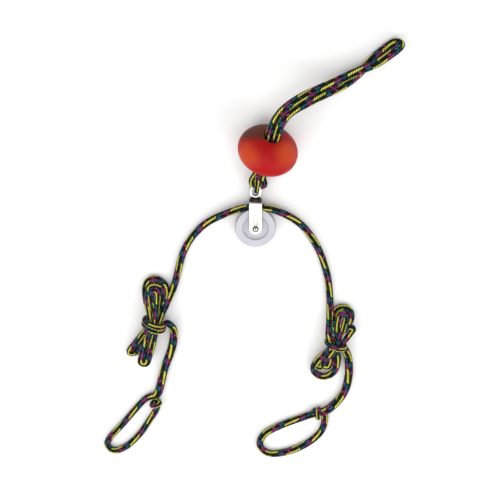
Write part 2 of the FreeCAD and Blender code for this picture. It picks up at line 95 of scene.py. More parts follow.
class RopeSettings(bpy.types.PropertyGroup):
    """Sizes and colours of the braided rope."""

    diameter: FloatProperty(name="Diameter", description="Rope diameter", default=0.00635, unit="LENGTH")
    standing: FloatProperty(
        name="Standing diameter",
        description="Where the tail is buried in the rope",
        default=0.0076,
        unit="LENGTH",
    )
    free_strand: FloatProperty(
        name="Door loop", description="Slack braid of the door loop", default=0.0071, unit="LENGTH"
    )
    left_loop: FloatProperty(
        name="Left loop", description="Rope of the left loop", default=0.0060, unit="LENGTH"
    )
    right_loop: FloatProperty(
        name="Right loop", description="Rope of the right loop", default=0.0064, unit="LENGTH"
    )
    stitch: FloatProperty(name="Stitch", description="Length of one stitch", default=0.0023, unit="LENGTH")
    twist: FloatProperty(
        name="Twist", description="Length of one turn of the braid", default=0.30, unit="LENGTH"
    )
    relief: FloatProperty(name="Relief", description="Height of a stitch", default=0.00055, unit="LENGTH")
    step: FloatProperty(
        name="Step", description="Distance between rings of the mesh", default=0.00058, unit="LENGTH"
    )
    around: IntProperty(name="Around", description="Points in a ring of the mesh", default=56)
    yellow: FloatVectorProperty(
        name="Yellow", description="Yarn", subtype="COLOR", default=(0.76, 0.72, 0.11)
    )
    magenta: FloatVectorProperty(
        name="Magenta", description="Yarn", subtype="COLOR", default=(0.33, 0.045, 0.17)
    )
    teal: FloatVectorProperty(name="Teal", description="Yarn", subtype="COLOR", default=(0.016, 0.13, 0.17))
    green: FloatVectorProperty(
        name="Green", description="Yarn", subtype="COLOR", default=(0.013, 0.060, 0.030)
    )
    black: FloatVectorProperty(
        name="Black", description="Yarn", subtype="COLOR", default=(0.006, 0.005, 0.006)
    )
    blue: FloatVectorProperty(name="Blue", description="Yarn", subtype="COLOR", default=(0.030, 0.045, 0.16))
    purple: FloatVectorProperty(
        name="Purple", description="Yarn", subtype="COLOR", default=(0.13, 0.03, 0.12)
    )


class BallSettings(bpy.types.PropertyGroup):
    """Sizes and colours of the door ball."""

    width: FloatProperty(name="Width", description="Across the bore", default=0.050, unit="LENGTH")
    height: FloatProperty(name="Height", description="Along the bore", default=0.0338, unit="LENGTH")
    bore: FloatProperty(name="Bore radius", description="Radius of the bore", default=0.00682, unit="LENGTH")
    rim: FloatProperty(name="Rim", description="Radius of the bore's rim", default=0.0012, unit="LENGTH")
    red: FloatVectorProperty(name="Red", description="Lacquer", subtype="COLOR", default=(0.42, 0.004, 0.005))
    # orange is a painted highlight on the ball's lower sides
    orange: FloatVectorProperty(
        name="Orange", description="Painted highlight", subtype="COLOR", default=(0.60, 0.070, 0.018)
    )
    # brown is painted shade on the ball's top side
    brown: FloatVectorProperty(
        name="Brown", description="Painted shade on top", subtype="COLOR", default=(0.105, 0.017, 0.006)
    )


class BlockSettings(bpy.types.PropertyGroup):
    """Finishes of the block."""

    nickel: FloatVectorProperty(
        name="Nickel", description="Plate", subtype="COLOR", default=(0.88, 0.86, 0.82)
    )
    steel: FloatVectorProperty(
        name="Steel", description="Sleeve", subtype="COLOR", default=(0.55, 0.54, 0.53)
    )
    nylon: FloatVectorProperty(
        name="Nylon", description="Sheave", subtype="COLOR", default=(0.64, 0.63, 0.69)
    )
    edge: FloatProperty(
        name="Edge", description="Rounding of the strap's edges", default=0.00025, unit="LENGTH"
    )


class StageSettings(bpy.types.PropertyGroup):
    """Floor, lights and camera."""

    floor: FloatVectorProperty(
        name="Floor", description="Floor colour", subtype="COLOR", default=(0.92, 0.92, 0.92)
    )
    tilt: FloatProperty(
        name="Tilt", description="Camera's tilt from straight down", default=math.radians(23), subtype="ANGLE"
    )
    distance: FloatProperty(name="Distance", description="Camera to the table", default=1.2, unit="LENGTH")
    field: FloatProperty(
        name="Field", description="Width of the view at the table", default=0.430, unit="LENGTH"
    )
    aim_x: FloatProperty(name="Aim X", description="Aim point from the foot of the axle", default=-0.004663)
    aim_y: FloatProperty(name="Aim Y", description="Aim point from the foot of the axle", default=-0.025373)


# ---------------------------------------------------------------- surfaces


def grid_mesh(name, grid, uv=None, wrap_rows=False, start_pole=False, end_pole=False):
    """A mesh from a grid of points [row, column]; columns close round, and rows can close or end in a pole.

    Rows run along the piece and columns turn anticlockwise about that direction, so faces point out.
    A pole is the mean of its end row.  uv has one column more than the grid.
    """
    rows, columns = grid.shape[:2]
    points = grid.reshape(-1, 3)
    index = np.arange(rows * columns).reshape(rows, columns)
    turned = np.roll(index, -1, axis=1)
    if wrap_rows:
        upper, upper_turned = np.roll(index, -1, axis=0), np.roll(turned, -1, axis=0)
        quads = np.stack([index, turned, upper_turned, upper], axis=-1)
    else:
        quads = np.stack([index[:-1], turned[:-1], turned[1:], index[1:]], axis=-1)
    quads = quads.reshape(-1, 4)
    triangles = []
    for wanted, row, order in ((start_pole, 0, (1, 0)), (end_pole, rows - 1, (0, 1))):
        if wanted:
            pole = np.full(columns, len(points))
            points = np.vstack([points, grid[row].mean(axis=0)])
            pair = (index[row], turned[row])
            triangles.append(np.stack([pair[order[0]], pair[order[1]], pole], axis=-1))
    triangles = np.vstack(triangles) if triangles else np.zeros((0, 3), int)
    mesh = bpy.data.meshes.new(name)
    mesh.vertices.add(len(points))
    mesh.vertices.foreach_set("co", points.astype(np.float32).ravel())
    corners = np.concatenate([quads.ravel(), triangles.ravel()])
    mesh.loops.add(len(corners))
    mesh.loops.foreach_set("vertex_index", corners.astype(np.int32))
    starts = np.concatenate([np.arange(len(quads)) * 4, len(quads) * 4 + np.arange(len(triangles)) * 3])
    mesh.polygons.add(len(starts))
    mesh.polygons.foreach_set("loop_start", starts.astype(np.int32))
    mesh.polygons.foreach_set("use_smooth", np.ones(len(starts), bool))
    if uv is not None:
        layer = mesh.uv_layers.new(name="along")
        corner_uv = np.stack([uv[:-1, :-1], uv[:-1, 1:], uv[1:, 1:], uv[1:, :-1]], axis=2).reshape(-1, 2)
        ends = []
        for wanted, row, order in ((start_pole, 0, (1, 0)), (end_pole, rows - 1, (0, 1))):
            if wanted:
                pair = (uv[row, :-1], uv[row, 1:])
                ends.append(np.stack([pair[order[0]], pair[order[1]], (pair[0] + pair[1]) / 2], axis=1))
        corner_uv = np.vstack([corner_uv] + [end.reshape(-1, 2) for end in ends])
        layer.data.foreach_set("uv", corner_uv.astype(np.float32).ravel())
    mesh.update()
    mesh.validate()
    piece = bpy.data.objects.new(name, mesh)
    bpy.context.scene.collection.objects.link(piece)
    return piece


def basis(axis):
    """Two unit directions square to an axis, anticlockwise about it."""
    axis = np.array(axis, float) / np.linalg.norm(axis)
    helper = np.array([0, 0, 1.0]) if abs(axis[2]) < 0.8 else np.array([1.0, 0, 0])
    first = np.cross(helper, axis)
    first /= np.linalg.norm(first)
    return first, np.cross(axis, first), axis


CORNER_STEPS = 6  # points in each eased corner


def rounded(corners, radius):
    """A closed outline of (radius, height) corners with each corner eased by a small arc."""
    corners = np.array(corners, float)
    before, after = np.roll(corners, 1, axis=0), np.roll(corners, -1, axis=0)
    radius = np.broadcast_to(radius, len(corners))[:, None]
    inward = before - corners
    outward = after - corners
    reach_in = np.minimum(radius, np.linalg.norm(inward, axis=1, keepdims=True) * 0.45)
    reach_out = np.minimum(radius, np.linalg.norm(outward, axis=1, keepdims=True) * 0.45)
    first = corners + inward / np.linalg.norm(inward, axis=1, keepdims=True) * reach_in
    last = corners + outward / np.linalg.norm(outward, axis=1, keepdims=True) * reach_out
    share = np.linspace(0, 1, CORNER_STEPS)[None, :, None]
    middle_part = 2 * share * (1 - share) * corners[:, None]
    arc = (1 - share) ** 2 * first[:, None] + middle_part + share**2 * last[:, None]
    return arc.reshape(-1, 2)


def revolved(name, outline, centre, axis, segments=96):
    """An outline of (radius, height) turned about an axis: centre + radius (cos, sin) + height axis.

    The outline is closed, and runs up the outside and down the inside.
    """
    first, second, axis = basis(axis)
    angle = np.linspace(0, 2 * math.pi, segments, endpoint=False)
    around = np.cos(angle)[:, None] * first + np.sin(angle)[:, None] * second
    radius, height = outline[:, 0], outline[:, 1]
    grid = np.array(centre) + radius[:, None, None] * around[None] + (height[:, None] * axis)[:, None]
    return grid_mesh(name, grid, wrap_rows=True)


def route_line(points, resolution=14):
    """The smooth line of a route: the NURBS spline that has the points as its control points."""
    curve = bpy.data.curves.new("route", "CURVE")
    curve.dimensions = "3D"
    spline = curve.splines.new("NURBS")
    spline.points.add(len(points) - 1)
    spline.points.foreach_set("co", np.hstack([points, np.ones((len(points), 1))]).ravel())
    spline.order_u = 3
    spline.use_endpoint_u = True
    spline.resolution_u = resolution
    holder = bpy.data.objects.new("route", curve)
    mesh = bpy.data.meshes.new_from_object(holder)
    line = np.zeros(len(mesh.vertices) * 3)
    mesh.vertices.foreach_get("co", line)
    bpy.data.meshes.remove(mesh)
    bpy.data.objects.remove(holder)
    bpy.data.curves.remove(curve)
    return line.reshape(-1, 3)


def along_line(line):
    """Distance along a line at each of its points."""
    return np.concatenate([[0], np.cumsum(np.linalg.norm(np.diff(line, axis=0), axis=1))])


def carried_frames(line, up):
    """Directions across a line, carried from point to point without twist."""
    tangent = np.gradient(line, axis=0)
    tangent /= np.linalg.norm(tangent, axis=1, keepdims=True)
    across = np.zeros_like(line)
    across[0] = np.array(up) - tangent[0] * np.dot(up, tangent[0])
    across[0] /= np.linalg.norm(across[0])
    for place in range(1, len(line)):
        moved = across[place - 1] - tangent[place] * np.dot(across[place - 1], tangent[place])
        across[place] = moved / np.linalg.norm(moved)
    return across, np.cross(tangent, across)


# ---------------------------------------------------------------- braid

LEGS = 8  # columns of stitches round the rope: each pair is one chain, whose two legs lean apart
ROUNDNESS = 2.2  # power of the stitch's section: 2 is an ellipse, and more is fuller
LEG_COLOURS = ("yyyyyygtbmmm", "kkgkkkttkkmk")  # first letters of the yarns, stitch by stitch, p for purple
REPEAT = len(LEG_COLOURS[0])  # stitches before a leg's colours come again
CHAIN_AHEAD = 3.0  # stitches by which each chain's colours are ahead of the last one's
VALLEY_SHADE = (0.42, 0.92, 0.01)  # painted shade in the valleys between stitches: heights between which a stitch goes from shaded to full, and how dark the shade starts


def braid_height(u, v):
    """Height from 0 to 1 of the braid at u turns round and v stitches along.

    x goes from -1 to 1 across a column, y along a stitch that leans half its length one way or the other,
    and the height is sqrt(1 - |x|^r) sqrt(1 - |y|^r) with r the roundness.
    """
    column = LEGS * u
    x = 2 * (column % 1) - 1
    lean = 1 - 2 * (np.floor(column) % 2)
    y = 2 * ((v + lean * x / 2) % 1) - 1
    return np.sqrt(1 - np.abs(x) ** ROUNDNESS) * np.sqrt(1 - np.abs(y) ** ROUNDNESS)


def braided_rope(name, route, diameters, settings, up=(0, 0, 1), start=0.0, direction=1, step=None):
    """A tube of braid along a route: line + (radius - relief + relief height) around it.

    diameters holds one value for each control point, start is where the pattern begins, and direction -1
    mirrors the braid's own count, so that two ropes that leave one place meet without a seam.
    """
    route = np.array(route, float)
    rough = route_line(route)
    # a quadratic spline lies midway between two control points where one span ends and the next begins
    place = np.linspace(0, len(route) - 2, len(rough)) + 0.5
    distance = along_line(rough)
    count = int(distance[-1] / (step or settings.step)) + 1
    even = np.linspace(0, distance[-1], count)
    line = np.stack([np.interp(even, distance, rough[:, k]) for k in range(3)], axis=1)
    line[1:-1] = (line[:-2] + 2 * line[1:-1] + line[2:]) / 4
    radius = np.interp(np.interp(even, distance, place), np.arange(len(route)), diameters) / 2
    across, second = carried_frames(line, up)
    angle = np.linspace(0, 2 * math.pi, settings.around + 1)
    travel = direction * (start + even[:, None])
    turns = direction * (angle / (2 * math.pi))[None, :] + travel / settings.twist
    stitches = np.broadcast_to(travel / settings.stitch, turns.shape)
    height = settings.relief * (braid_height(turns, stitches) - 1)
    reach = (radius[:, None] + height)[:, :-1, None]
    around = np.cos(angle)[None, :-1, None] * across[:, None] + np.sin(angle)[None, :-1, None] * second[:, None]
    grid = line[:, None] + reach * around
    uv = np.stack([turns, stitches], axis=-1)
    piece = grid_mesh(name, grid, uv, start_pole=True, end_pole=True)
    return piece, line


# ---------------------------------------------------------------- cord routes

ANCHOR_OUTWARD = [
    (0.0261, 0.1091, 0.0389),
    (0.0391, 0.1146, 0.0311),
    (0.0538, 0.1184, 0.0190),
    (0.0697, 0.1221, 0.0088),
    (0.0825, 0.1303, 0.0038),
    (0.0950, 0.1450, 0.0036),
    (0.1045, 0.1531, 0.0038),
    (0.1118, 0.1588, 0.0040),
]
ANCHOR_TIP = [(0.1172, 0.1582, 0.0080)]
ANCHOR_BACK = [
    (0.1151, 0.1556, 0.0117),
    (0.1071, 0.1492, 0.0112),
    (0.0970, 0.1420, 0.0106),
    (0.0840, 0.1365, 0.0100),
    (0.0675, 0.1290, 0.0113),
    (0.0509, 0.1243, 0.0206),
    (0.0345, 0.1198, 0.0318),
    (0.0212, 0.1128, 0.0379),
]
STRAND_BELOW, STRAND_ABOVE = 0.0309, 0.0310  # ends of the straight strands, from the ball's centre
BEND_STARTS = (-0.002, 0.020)  # control points in between, which keep the strands straight in the bore
STRAIGHT_POINTS = 2 + len(BEND_STARTS)

SEAT_RADIUS = 0.0171  # of the rope's middle on the sheave
LEVEL_RUN = 0.009  # the second control point, level with the first
ARCH = {
    "left": [
        (-0.0245, 0.0116, 0.0073),
        (-0.0405, 0.0032, 0.0048),
        (-0.0540, -0.0105, 0.0034),
        (-0.0627, -0.0265, 0.0032),
        (-0.0667, -0.0435, 0.0033),
        (-0.0705, -0.0590, 0.0036),
        (-0.0770, -0.0720, 0.0075),
    ],
    "right": [
        (0.0240, 0.0114, 0.0073),
        (0.0385, 0.0015, 0.0048),
        (0.0500, -0.0145, 0.0034),
        (0.0585, -0.0330, 0.0032),
        (0.0635, -0.0530, 0.0033),
        (0.0652, -0.0740, 0.0036),
        (0.0650, -0.0900, 0.0068),
        (0.0636, -0.1022, 0.0125),
    ],
}
STANDING = {
    "left": [
        (-0.0765, -0.0885, 0.0122),
        (-0.0712, -0.0975, 0.0062),
        (-0.0720, -0.1105, 0.0041),
        (-0.0750, -0.1225, 0.0039),
        (-0.0810, -0.1380, 0.0039),
        (-0.0840, -0.1520, 0.0039),
        (-0.0875, -0.1655, 0.0046),
    ],
    "right": [
        (0.0790, -0.1165, 0.0085),
        (0.0818, -0.1240, 0.0054),
        (0.0832, -0.1335, 0.0041),
        (0.0836, -0.1475, 0.0039),
        (0.0800, -0.1625, 0.0039),
        (0.0722, -0.1737, 0.0039),
        (0.0635, -0.1815, 0.0046),
    ],
}
LOOP = {
    "left": [
        (-0.0948, -0.1663, 0.0039),
        (-0.1012, -0.1714, 0.0032),
        (-0.1098, -0.1822, 0.0031),
        (-0.1206, -0.1962, 0.0031),
        (-0.1316, -0.2080, 0.0031),
        (-0.1358, -0.2165, 0.0031),
        (-0.1296, -0.2243, 0.0031),
        (-0.1178, -0.2198, 0.0031),
        (-0.1050, -0.2065, 0.0031),
        (-0.0952, -0.1908, 0.0031),
        (-0.0876, -0.1780, 0.0032),
        (-0.0876, -0.1695, 0.0046),
    ],
    "right": [
        (0.0530, -0.1843, 0.0035),
        (0.0370, -0.1906, 0.0031),
        (0.0200, -0.1981, 0.0031),
        (0.0070, -0.2056, 0.0031),
        (0.0029, -0.2173, 0.0031),
        (0.0110, -0.2270, 0.0031),
        (0.0270, -0.2256, 0.0031),
        (0.0455, -0.2175, 0.0031),
        (0.0586, -0.2060, 0.0031),
        (0.0636, -0.1935, 0.0032),
        (0.0626, -0.1835, 0.0046),
    ],
}

# hanks: the waist, the hank's direction, its folds as (tip, height at the tip, width, side of the
# outgoing limb), the side on which the rope comes in, and the turns round the waist as (first angle, last
# angle, first and last shift), how far they are tilted and how flat they are pressed
HANK = {
    "left": {
        "waist": (-0.0880, -0.0895),
        "along": (0.20, 0.98),
        "folds": [
            ((-0.0988, -0.1302), 0.0098, 0.0062, 1),
            ((-0.0858, -0.0512), 0.0036, 0.0178, -1),
            ((-0.1098, -0.1230), 0.0034, 0.0058, 1),
            ((-0.0862, -0.0548), 0.0078, 0.0128, -1),
            ((-0.0990, -0.1262), 0.0035, 0.0070, 1),
            ((-0.0872, -0.0575), 0.0118, 0.0060, 1),
        ],
        "slots": 1,
        "turns": (200, -370, -0.0034, 0.0026),
        "turn_tilt": 0.0020,
        "turn_squeeze": 0.80,
    },
    "right": {
        "waist": (0.0702, -0.1105),
        "along": (0.265, 0.964),
        "folds": [
            ((0.0584, -0.1460), 0.0038, 0.0190, -1),
            ((0.0782, -0.0784), 0.0040, 0.0152, -1),
            ((0.0562, -0.1352), 0.0062, 0.0062, 1),
            ((0.0838, -0.0950), 0.0088, 0.0068, 1),
            ((0.0622, -0.1340), 0.0085, 0.0058, 1),
            ((0.0766, -0.0818), 0.0105, 0.0062, 1),
        ],
        "slots": -1,
        "turns": (-60, -385, 0.0020, 0.0008),
        "turn_tilt": 0.0,
        "turn_squeeze": 0.72,
    },
}
WAIST_HEIGHT = 0.0128
TURN_WIDTH, TURN_HEIGHT = 0.0088, 0.0092
TURN_POINTS = 14  # control points in one turn round the waist
SLOT_RADIUS = 0.0039  # the strands lie in a ring of this radius round a middle one where they are tied

# how thin the rope is pressed: where it is tied, at the foot of a limb, and in each fold
TIED_SQUEEZE, FOOT_SQUEEZE = 0.68, 0.82
FOLD_SQUEEZE = (1.0, 1.0, 0.92, 0.88, 0.88, 0.82)

# control points of a fold: shares of a limb's length, and angles round the tip, pushed out a little
# because the spline runs inside its control points
LIMB_SHARES = np.array([0.28, 0.56, 0.84])
TIP_ANGLES = np.radians([18, 54, 90, 126, 162])
TIP_PUSH = 1.04

SLOT_ORDER = (0, 3, 5, 2, 4, 1)  # places in the ring, in sixths of a turn, that the strands take in turn
STANDING_START = 3  # control points over which the rope thickens to its standing part


def eased(share):
    """Goes from 0 to 1 with level ends: 3 x^2 - 2 x^3."""
    share = np.clip(share, 0, 1)
    return share * share * (3 - 2 * share)


def slot(number):
    """Where a strand passes the waist, across and up: one in the middle and six in a ring."""
    if number == len(SLOT_ORDER):
        return np.array([0.0, WAIST_HEIGHT])
    angle = math.radians(60 * SLOT_ORDER[number] + 30)
    return np.array([SLOT_RADIUS * math.cos(angle), WAIST_HEIGHT + SLOT_RADIUS * math.sin(angle)])


def fold(waist, across, tip, height, width, side, enter, leave):
    """One fold of a hank: a limb out from its slot, half a circle at the tip and a limb back to a slot.

    Limbs: along = share (length - radius), aside = slot + (side radius - slot) eased(share).
    Fold: along = length - radius + radius sin a, aside = side radius cos a, for a from 0 to 180 degrees.
    """
    reach = np.array(tip) - waist
    length = np.linalg.norm(reach)
    radius = width / 2
    spread = eased(LIMB_SHARES / LIMB_SHARES[-1])
    out = LIMB_SHARES * (length - radius)
    lift = eased(out / length)
    limb = [side * radius * spread + end[0] * (1 - spread) for end in (enter, -leave)]
    rise = [end[1] * (1 - lift) + height * lift for end in (enter, leave)]
    aside = np.concatenate([limb[0], side * radius * TIP_PUSH * np.cos(TIP_ANGLES), -limb[1][::-1]])
    along = np.concatenate([out, length - radius + radius * TIP_PUSH * np.sin(TIP_ANGLES), out[::-1]])
    up = np.concatenate([rise[0], np.full(len(TIP_ANGLES), height), rise[1][::-1]])
    flat = waist + along[:, None] * reach / length + aside[:, None] * across
    return np.column_stack([flat, up])


def hank_route(hank):
    """Control points of a hank from the waist's first slot to the end of its turns, and their squeeze."""
    waist, direction = np.array(hank["waist"]), np.array(hank["along"])
    direction = direction / np.linalg.norm(direction)
    across = np.array([direction[1], -direction[0]])
    points, squeeze = [], []
    for number, (tip, height, width, side) in enumerate(hank["folds"]):
        enter, leave = (slot(place) * (hank["slots"], 1) for place in (number, number + 1))
        points.append(np.concatenate([waist + enter[0] * across, enter[1:]])[None])
        points.append(fold(waist, across, tip, height, width, side, enter, leave))
        pressed = [FOLD_SQUEEZE[number]] * (len(points[-1]) - 2)
        squeeze += [TIED_SQUEEZE, FOOT_SQUEEZE, *pressed, FOOT_SQUEEZE]
    first, last, start_shift, end_shift = hank["turns"]
    count = int(abs(last - first) / 360 * TURN_POINTS)
    angle = np.radians(np.linspace(first, last, count))
    shift = np.linspace(start_shift, end_shift, count) - hank["turn_tilt"] * np.cos(angle)
    flat = waist + TURN_WIDTH * np.cos(angle)[:, None] * across + shift[:, None] * direction
    points.append(np.column_stack([flat, WAIST_HEIGHT + TURN_HEIGHT * np.sin(angle)]))
    squeeze += [hank["turn_squeeze"]] * count
    return np.vstack(points), np.array(squeeze)


def anchor_route():
    """Both strands in one length: up through the ball, round the tip of the door loop and back."""
    straight = [-STRAND_BELOW, *BEND_STARTS, STRAND_ABOVE]
    up = [BALL + BALL_AXIS * reach + SIDE_BY_SIDE for reach in straight]
    down = [BALL + BALL_AXIS * reach - SIDE_BY_SIDE for reach in reversed(straight)]
    free = [FOOT + point for point in np.array(ANCHOR_OUTWARD + ANCHOR_TIP + ANCHOR_BACK)]
    return np.array(up + free + down)


def rope_route(side, sign, settings):
    """One half of the rope: sheave, arch, hank, turns, standing part and hand loop, with its diameters."""
    top = AXLE + np.array([0, SEAT_RADIUS, 0])
    arch = np.vstack([top, top + np.array([sign * LEVEL_RUN, 0, 0]), FOOT + np.array(ARCH[side])])
    folds, squeeze = hank_route(HANK[side])
    standing = FOOT + np.array(STANDING[side])
    loop = FOOT + np.array(LOOP[side])
    route = np.vstack([arch, FOOT + folds, standing, loop])
    loop_diameter = settings.left_loop if side == "left" else settings.right_loop
    diameters = np.concatenate(
        [
            np.full(len(arch), settings.diameter),
            settings.diameter * squeeze,
            np.linspace(settings.diameter, settings.standing, STANDING_START),
            np.full(len(standing) - STANDING_START, settings.standing),
            np.full(len(loop), loop_diameter),
        ]
    )
    return route, diameters


# ---------------------------------------------------------------- materials


class Shader:
    """A material's nodes: each call adds a node, and sets or links its inputs by name or number."""

    def __init__(self, name):
        self.material = bpy.data.materials.new(name)
        self.material.use_nodes = True
        self.tree = self.material.node_tree
        self.surface = self.tree.nodes["Principled BSDF"]

    def add(self, kind, inputs=(), **settings):
        """A new node of a kind, with its inputs and settings."""
        node = self.tree.nodes.new("ShaderNode" + kind)
        for key, value in settings.items():
            setattr(node, key, value)
        self.feed(node, inputs)
        return node

    def feed(self, node, inputs):
        """Links each input that is given a socket, and sets each that is given a value."""
        for key, value in dict(inputs).items():
            if isinstance(value, bpy.types.NodeSocket):
                self.tree.links.new(value, node.inputs[key])
            else:
                node.inputs[key].default_value = value

    def math(self, operation, first, second=0.0, third=0.0):
        """One Math node."""
        node = self.add("Math", {0: first, 1: second, 2: third}, operation=operation)
        return node.outputs[0]

    def ramp(self, factor, stops, interpolation="LINEAR"):
        """Colours at their places along a factor."""
        node = self.add("ValToRGB", {0: factor})
        node.color_ramp.interpolation = interpolation
        elements = node.color_ramp.elements
        while len(elements) < len(stops):
            elements.new(0.5)
        for element, (place, colour) in zip(elements, stops):
            element.position = place
            element.color = (*colour, 1)
        return node.outputs[0]

    def noise(self, vector, scale, detail=3.0):
        """A cloud of noise."""
        node = self.add("TexNoise", {"Vector": vector, "Scale": scale, "Detail": detail})
        return node.outputs["Fac"]

    def mix(self, factor, first, second, blend="MIX"):
        """Two colours mixed by a factor."""
        node = self.add("Mix", data_type="RGBA", blend_type=blend)
        self.feed(node, {0: factor, 6: first, 7: second})
        return node.outputs[2]

    def spread(self, factor, low, high):
        """A value between low and high from a factor of 0.3 to 0.7, as a noise gives."""
        node = self.add("MapRange", {0: factor, 1: 0.3, 2: 0.7, 3: low, 4: high})
        return node.outputs[0]

    def bump(self, height, strength, distance):
        """A normal that is tilted by a height."""
        node = self.add("Bump", {"Height": height, "Strength": strength, "Distance": distance})
        return node.outputs[0]

    def finish(self, **inputs):
        """Feeds the surface, whose inputs are named with underscores, and gives the material."""
        self.feed(self.surface, {key.replace("_", " "): value for key, value in inputs.items()})
        return self.material


def colour(value):
    """A red, green and blue with full alpha."""
    return (*value, 1)


def braid_material(settings):
    """Chains of leaning stitches: the same x, y and height as in the mesh, a colour for each stitch, and
    painted shade in the valleys between stitches.

    The colours of a leg come again after a repeat, and each chain is a few stitches ahead of the last, so
    the colours run round the rope as slow diagonals.
    """
    shader = Shader("chain_braid")
    uv = shader.add("UVMap", uv_map="along").outputs[0]
    parts = shader.add("SeparateXYZ", {0: uv})
    column = shader.math("MULTIPLY", parts.outputs[0], float(LEGS))
    x = shader.math("MULTIPLY_ADD", shader.math("FRACT", column), 2.0, -1.0)
    odd = shader.math("FLOORED_MODULO", shader.math("FLOOR", column), 2.0)
    lean = shader.math("MULTIPLY_ADD", odd, -1.0, 0.5)
    leaning = shader.math("MULTIPLY_ADD", lean, x, parts.outputs[1])
    y = shader.math("MULTIPLY_ADD", shader.math("FRACT", leaning), 2.0, -1.0)
    rounds = []
    for value in (x, y):
        power = shader.math("POWER", shader.math("ABSOLUTE", value), ROUNDNESS)
        rounds.append(shader.math("SQRT", shader.math("SUBTRACT", 1.0, power)))
    height = shader.math("MULTIPLY", rounds[0], rounds[1])
    chain = shader.math("FLOOR", shader.math("MULTIPLY", column, 0.5))
    ahead = shader.math("MULTIPLY", chain, CHAIN_AHEAD)
    stitch = shader.math("ADD", shader.math("FLOOR", leaning), ahead)
    number = shader.math("FLOORED_MODULO", stitch, float(REPEAT))
    place = shader.math("DIVIDE", shader.math("ADD", number, 0.5), float(REPEAT))
    names = {
        "y": settings.yellow,
        "m": settings.magenta,
        "t": settings.teal,
        "g": settings.green,
        "k": settings.black,
        "b": settings.blue,
        "p": settings.purple,
    }
    legs = []
    for order in LEG_COLOURS:
        stops = [(index / REPEAT, names[letter]) for index, letter in enumerate(order)]
        legs.append(shader.ramp(place, stops, "CONSTANT"))
    yarn = shader.mix(odd, legs[0], legs[1])
    # painted shade: the colour darkens towards the valleys between stitches, and wear is a random tone
    foot, top, darkest = VALLEY_SHADE
    limits = {0: height, 1: foot, 2: top, 3: darkest, 4: 1.0}
    valley = shader.add("MapRange", limits, interpolation_type="SMOOTHSTEP")
    where = shader.add("TexCoord").outputs["Object"]
    wear = shader.spread(shader.noise(where, 260.0), 0.72, 1.15)
    shade = shader.math("MULTIPLY", valley.outputs[0], wear)
    grey = shader.add("CombineColor", {0: shade, 1: shade, 2: shade}).outputs[0]
    base = shader.mix(1.0, yarn, grey, "MULTIPLY")
    plies = shader.math("SINE", shader.math("MULTIPLY", x, 3.0 * math.pi))
    fibre = shader.noise(where, 2600.0, 2.0)
    relief = shader.math("MULTIPLY_ADD", plies, 0.12, shader.math("MULTIPLY_ADD", fibre, 0.25, height))
    return shader.finish(
        Base_Color=base,
        Roughness=shader.spread(fibre, 0.50, 0.74),
        Normal=shader.bump(relief, 0.6, 0.0004),
        Sheen_Weight=0.02,
        Sheen_Roughness=0.5,
        Specular_IOR_Level=0.12,
    )


TOP_SHADE_SIDE = (-0.08, 0.97, -0.22)  # the top side of the ball, where shade is painted in brown
TOP_SHADE_FROM = (0.0080, 0.0155)  # from the ball's centre towards that side: where it starts and is full
# centres of two painted highlights, orange lit patches on the ball's lower sides
HIGHLIGHT_PLACES = ((-0.0175, -0.0007, 0.0144), (0.0165, 0.0020, 0.0144))  # from the ball's centre
HIGHLIGHT_REACH = (0.0035, 0.0165)  # from a highlight's centre: where it is full and where it ends


def lacquer_material(settings):
    """Red lacquer on wood: orange painted highlights in two places, and brown painted shade on the top side."""
    shader = Shader("red_lacquer")
    place = shader.add("TexCoord").outputs["Object"]
    offset = shader.add("VectorMath", {0: place, 1: tuple(BALL)}, operation="SUBTRACT").outputs[0]
    # painted shade: brown over the top side of the ball
    upward = shader.add("VectorMath", {0: offset, 1: TOP_SHADE_SIDE}, operation="DOT_PRODUCT").outputs["Value"]
    slow = shader.noise(place, 45.0, 3.0)
    level = shader.math("ADD", upward, shader.spread(slow, -0.0012, 0.0012))
    start, full = TOP_SHADE_FROM
    limits = {0: level, 1: start, 2: full, 3: 0.0, 4: 1.0}
    top_shade = shader.add("MapRange", limits, interpolation_type="SMOOTHSTEP")
    # painted highlights: two orange patches on the lower sides
    base = colour(settings.red)
    for centre in HIGHLIGHT_PLACES:
        apart = shader.add("VectorMath", {0: offset, 1: centre}, operation="DISTANCE").outputs["Value"]
        uneven = shader.math("ADD", apart, shader.spread(slow, -0.002, 0.002))
        limits = {0: uneven, 1: HIGHLIGHT_REACH[1], 2: HIGHLIGHT_REACH[0], 3: 0.0, 4: 0.85}
        sheen_and_wear = shader.add("MapRange", limits, interpolation_type="SMOOTHSTEP")
        base = shader.mix(sheen_and_wear.outputs[0], base, colour(settings.orange))
    base = shader.mix(top_shade.outputs[0], base, colour(settings.brown))
    grain = shader.noise(place, 900.0, 4.0)
    return shader.finish(
        Base_Color=base,
        Roughness=shader.spread(grain, 0.44, 0.56),
        Normal=shader.bump(shader.noise(place, 420.0, 3.0), 0.12, 0.0002),
        Coat_Weight=0.08,
        Coat_Roughness=0.4,
        Specular_IOR_Level=0.12,
    )


# painted shade colours: on the steep sides of plated pieces, and in dark bands on the collar and in the rivet's
# valley
SIDE_SHADE, BAND_SHADE = (0.075, 0.062, 0.050, 1), (0.02, 0.018, 0.015, 1)
DARK_EDGE = 0.0002  # over which a band of painted dark ends
